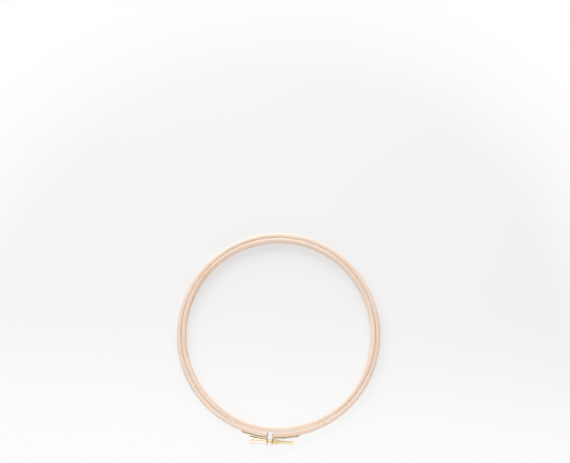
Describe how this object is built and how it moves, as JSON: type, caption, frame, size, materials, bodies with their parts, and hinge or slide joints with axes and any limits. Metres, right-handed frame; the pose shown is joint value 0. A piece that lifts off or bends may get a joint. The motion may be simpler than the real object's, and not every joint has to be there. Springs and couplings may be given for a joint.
{
  "type": "embroidery hoop",
  "caption": "Round wooden embroidery hoop: a plain inner ring inside a split outer ring, closed by a brass screw and square nut through nailed ears.",
  "frame": {"origin": "centre of the opening of the inner ring, at mid-height", "axes": "+Z along the rings' axis, up when the hoop lies flat; -Y towards the gap and the screw; +X from the screw's head towards its tail"},
  "size_m": [0.185, 0.1921, 0.008],
  "materials": {
    "inner_beech": "sanded, unvarnished",
    "outer_beech": "sanded, unvarnished",
    "bracket_brass": "rolled strip, satin",
    "nail_brass": "bright",
    "screw_brass": "turned, bright",
    "nut_brass": "turned, bright"
  },
  "bodies": {
    "left_half": {"outer_ring_left_half": "outer_beech", "screw_bracket": "bracket_brass", "screw_bracket_near_nail": "nail_brass", "screw_bracket_far_nail": "nail_brass"},
    "right_half": {"outer_ring_right_half": "outer_beech", "nut_bracket": "bracket_brass", "nut_bracket_near_nail": "nail_brass", "nut_bracket_far_nail": "nail_brass"},
    "inner_ring": {"inner_ring": "inner_beech"},
    "clamp_screw": {"clamp_screw": "screw_brass"},
    "square_nut": {"square_nut": "nut_brass"}
  },
  "joints": [
    {"name": "ring_flex", "type": "hinge", "parent": "left_half", "child": "right_half", "pos_m": [0, 0.0925, 0], "axis": [0, 0, 1], "range_deg": [0, 1.8]},
    {"name": "nut_travel", "type": "slide", "parent": "left_half", "child": "square_nut", "axis": [1, 0, 0], "range_m": [0, 0.006]},
    {"name": "screw_spin", "type": "hinge", "parent": "left_half", "child": "clamp_screw", "pos_m": [0, -0.096, 0], "axis": [-1, 0, 0], "range_deg": [0, 4320]},
    {"name": "inner_ring_lift", "type": "slide", "parent": "left_half", "child": "inner_ring", "axis": [0, 0, 1], "range_m": [0, 0.03]}
  ],
  "couplings": [
    {"joint": "nut_travel", "follows": "ring_flex", "m_per_rad": 0.1907},
    {"joint": "screw_spin", "follows": "ring_flex", "ratio": 2396.4}
  ]
}
